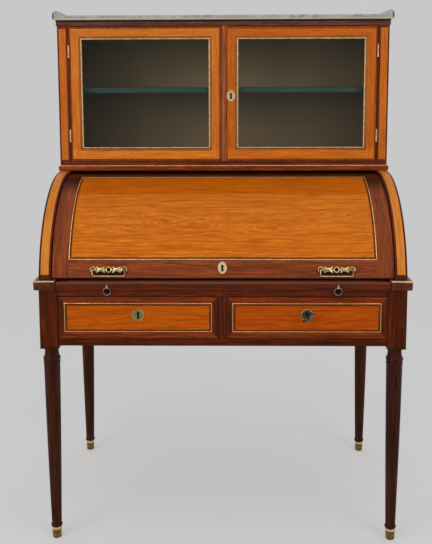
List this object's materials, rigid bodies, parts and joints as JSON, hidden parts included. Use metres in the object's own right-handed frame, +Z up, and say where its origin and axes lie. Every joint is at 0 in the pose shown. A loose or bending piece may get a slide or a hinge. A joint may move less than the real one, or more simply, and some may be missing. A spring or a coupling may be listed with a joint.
{
  "type": "cylinder writing desk with glazed cabinet",
  "caption": "Small veneered writing desk with a roll-up cylinder front, pull-out slide and drawers on turned legs, under a glazed cabinet with a marble top.",
  "frame": {"origin": "bottom centre of the bounding box, on the floor", "axes": "+Z up, -Y the front that the user sits at, +X the user's right when facing the desk"},
  "size_m": [1.0038, 0.6276, 1.4772],
  "materials": {
    "mahogany": "french-polished mahogany, satin gloss",
    "satinwood": "french-polished satinwood veneer, satin gloss",
    "oak": "unpolished lining wood",
    "gilt_brass": "gilt brass, softly polished",
    "aged_brass": "aged brass, dull",
    "steel": "worn bright steel",
    "marble": "honed pale veined marble",
    "glass": "clear pane",
    "lining": "taupe cloth on a thin board",
    "shelf_paint": "board with a blue-green front edge"
  },
  "bodies": {
    "carcass": {"front_left_leg": "mahogany", "front_right_leg": "mahogany", "back_left_leg": "mahogany", "back_right_leg": "mahogany", "front_left_sabot": "aged_brass", "front_right_sabot": "aged_brass", "back_left_sabot": "aged_brass", "back_right_sabot": "aged_brass", "left_side_apron": "mahogany", "right_side_apron": "mahogany", "left_slide_bearer": "mahogany", "right_slide_bearer": "mahogany", "left_top_moulding": "mahogany", "right_top_moulding": "mahogany", "left_cheek": "mahogany", "right_cheek": "mahogany", "vitrine_left_side": "mahogany", "vitrine_right_side": "mahogany", "lower_front_rail": "mahogany", "upper_front_rail": "mahogany", "drawer_divider": "mahogany", "dust_board": "oak", "desk_back": "oak", "pigeonhole_nest": "satinwood", "vitrine_base": "mahogany", "vitrine_back": "lining", "vitrine_shelf": "shelf_paint", "vitrine_cornice": "mahogany", "marble_top": "marble"},
    "left_door": {"left_door_frame": "satinwood", "left_door_glass": "glass", "left_door_upper_hinge": "gilt_brass", "left_door_lower_hinge": "gilt_brass"},
    "right_door": {"right_door_frame": "satinwood", "right_door_glass": "glass", "right_door_upper_hinge": "gilt_brass", "right_door_lower_hinge": "gilt_brass", "door_escutcheon": "gilt_brass"},
    "cylinder": {"cylinder_shell": "satinwood", "left_cylinder_arm": "mahogany", "right_cylinder_arm": "mahogany", "left_handle_plate": "gilt_brass", "right_handle_plate": "gilt_brass", "cylinder_escutcheon": "gilt_brass"},
    "left_bail": {"left_handle_bail": "gilt_brass"},
    "right_bail": {"right_handle_bail": "gilt_brass"},
    "slide": {"writing_slide": "mahogany", "left_ring_stud": "gilt_brass", "right_ring_stud": "gilt_brass"},
    "left_ring": {"left_pull_ring": "gilt_brass"},
    "right_ring": {"right_pull_ring": "gilt_brass"},
    "left_drawer": {"left_drawer_front": "satinwood", "left_drawer_box": "oak", "left_drawer_escutcheon": "aged_brass"},
    "right_drawer": {"right_drawer_front": "satinwood", "right_drawer_box": "oak", "right_drawer_escutcheon": "aged_brass"},
    "key": {"drawer_key": "steel"},
    "left_inner_drawer": {"left_small_drawer": "satinwood"},
    "right_inner_drawer": {"right_small_drawer": "satinwood"}
  },
  "joints": [
    {"name": "left_door_swing", "type": "hinge", "parent": "carcass", "child": "left_door", "pos_m": [-0.45685, 0.0407, 1.0276], "axis": [0, 0, -1], "range_deg": [0, 105]},
    {"name": "right_door_swing", "type": "hinge", "parent": "carcass", "child": "right_door", "pos_m": [0.45685, 0.0407, 1.0276], "axis": [0, 0, 1], "range_deg": [0, 105]},
    {"name": "cylinder_roll", "type": "hinge", "parent": "carcass", "child": "cylinder", "pos_m": [0, 0.0248, 0.6965], "axis": [-1, 0, 0], "range_deg": [0, 62]},
    {"name": "writing_slide_pull", "type": "slide", "parent": "carcass", "child": "slide", "axis": [0, -1, 0], "range_m": [0, 0.26]},
    {"name": "left_drawer_pull", "type": "slide", "parent": "carcass", "child": "left_drawer", "axis": [0, -1, 0], "range_m": [0, 0.34]},
    {"name": "left_inner_drawer_pull", "type": "slide", "parent": "carcass", "child": "left_inner_drawer", "axis": [0, -1, 0], "range_m": [0, 0.12]},
    {"name": "left_bail_swing", "type": "hinge", "parent": "cylinder", "child": "left_bail", "pos_m": [-0.3035, -0.27048, 0.76794], "axis": [-1, 0, 0], "range_deg": [0, 85]},
    {"name": "left_ring_swing", "type": "hinge", "parent": "slide", "child": "left_ring", "pos_m": [-0.305, -0.2921, 0.7242], "axis": [-1, 0, 0], "range_deg": [0, 95]},
    {"name": "right_drawer_pull", "type": "slide", "parent": "carcass", "child": "right_drawer", "axis": [0, -1, 0], "range_m": [0, 0.34]},
    {"name": "right_inner_drawer_pull", "type": "slide", "parent": "carcass", "child": "right_inner_drawer", "axis": [0, -1, 0], "range_m": [0, 0.12]},
    {"name": "right_bail_swing", "type": "hinge", "parent": "cylinder", "child": "right_bail", "pos_m": [0.3035, -0.27048, 0.76794], "axis": [-1, 0, 0], "range_deg": [0, 85]},
    {"name": "right_ring_swing", "type": "hinge", "parent": "slide", "child": "right_ring", "pos_m": [0.305, -0.2921, 0.7242], "axis": [-1, 0, 0], "range_deg": [0, 95]},
    {"name": "key_turn", "type": "hinge", "parent": "right_drawer", "child": "key", "pos_m": [0.2251, -0.2766, 0.6462], "axis": [0, 1, 0], "range_deg": [-45, 135]}
  ]
}
